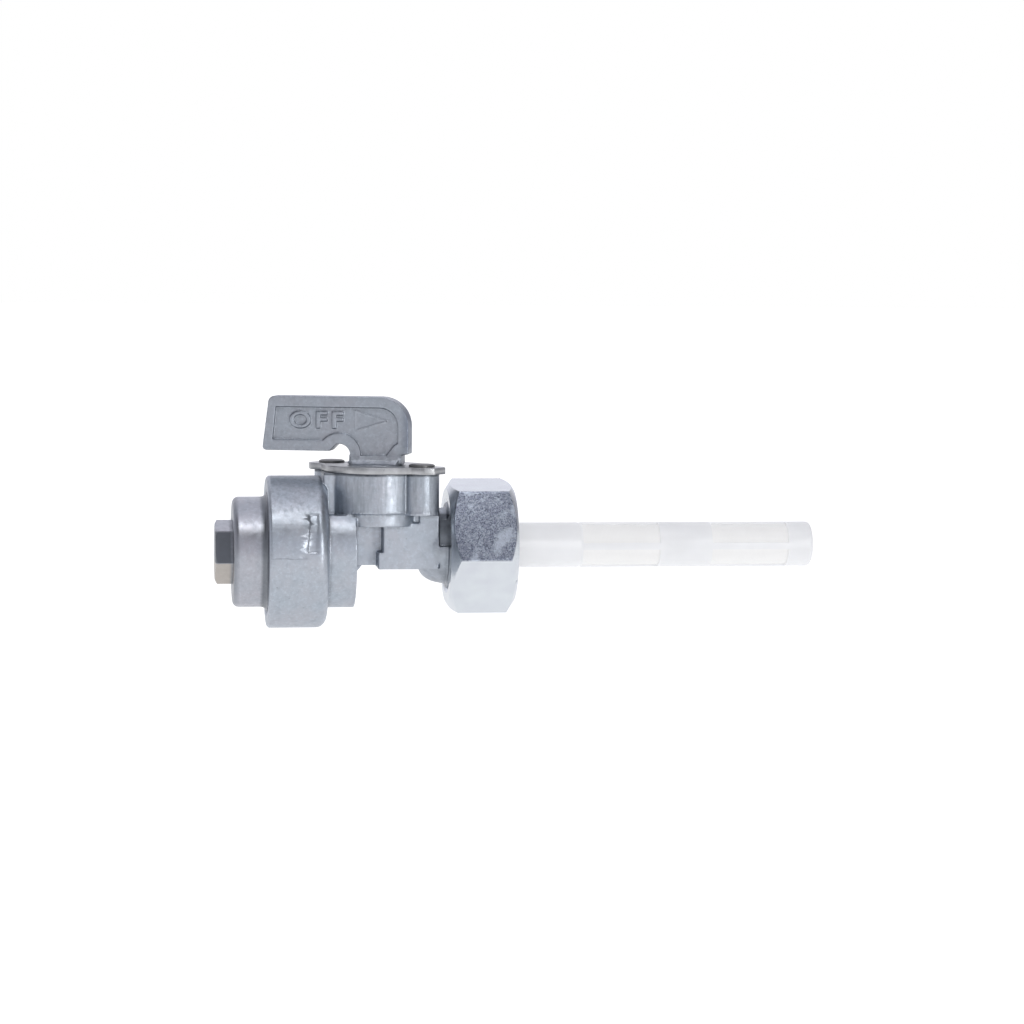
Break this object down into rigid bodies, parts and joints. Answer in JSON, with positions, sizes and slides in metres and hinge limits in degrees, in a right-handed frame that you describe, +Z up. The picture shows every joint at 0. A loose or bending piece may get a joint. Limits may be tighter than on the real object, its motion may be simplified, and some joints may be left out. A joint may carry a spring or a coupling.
{
  "type": "fuel tap",
  "caption": "Small-engine fuel tap: cast body, turning lever, screw-off sediment bowl, union nut and nylon standpipe strainer.",
  "frame": {"origin": "centre of the gasket face that seals against the tank's outlet, on the standpipe's axis", "axes": "+X along the standpipe towards its tip, +Y along the hose outlet, +Z up along the lever's spindle"},
  "size_m": [0.1077, 0.0395, 0.0412],
  "materials": {
    "cast_zinc": "satin",
    "plated_steel": "satin",
    "dark_steel": "satin",
    "plate_steel": "satin",
    "nylon": "satin",
    "gauze": "matte",
    "rubber": "matte",
    "brass_gauze": "satin"
  },
  "bodies": {
    "tap_body": {"valve_body": "cast_zinc", "valve_packing": "rubber", "wave_spring": "plate_steel", "retaining_plate": "plate_steel", "plate_rivets": "dark_steel", "strainer_cage": "nylon", "base_gauze": "gauze", "tip_gauze": "gauze", "inlet_gasket": "rubber", "bowl_screen_frame": "nylon", "bowl_screen_gauze": "brass_gauze"},
    "tap_lever": {"lever": "cast_zinc"},
    "joint_nut": {"union_nut": "plated_steel"},
    "bowl_seal": {"bowl_o_ring": "rubber"},
    "bowl": {"sediment_bowl": "cast_zinc"}
  },
  "joints": [
    {"name": "lever_turn", "type": "hinge", "parent": "tap_body", "child": "tap_lever", "pos_m": [-0.0205, 0, 0], "axis": [0, 0, 1], "range_deg": [-74.5, 15.5]},
    {"name": "nut_spin", "type": "hinge", "parent": "tap_body", "child": "joint_nut", "pos_m": [0, 0, 0], "axis": [1, 0, 0], "continuous": true},
    {"name": "bowl_travel", "type": "slide", "parent": "tap_body", "child": "bowl_seal", "axis": [-1, 0, 0], "range_m": [0, 0.0076]},
    {"name": "bowl_turn", "type": "hinge", "parent": "bowl_seal", "child": "bowl", "pos_m": [-0.04, 0, -0.001], "axis": [-1, 0, 0], "range_deg": [0, 1800]}
  ],
  "couplings": [
    {"joint": "bowl_travel", "follows": "bowl_turn", "m_per_rad": 0.00023873}
  ]
}
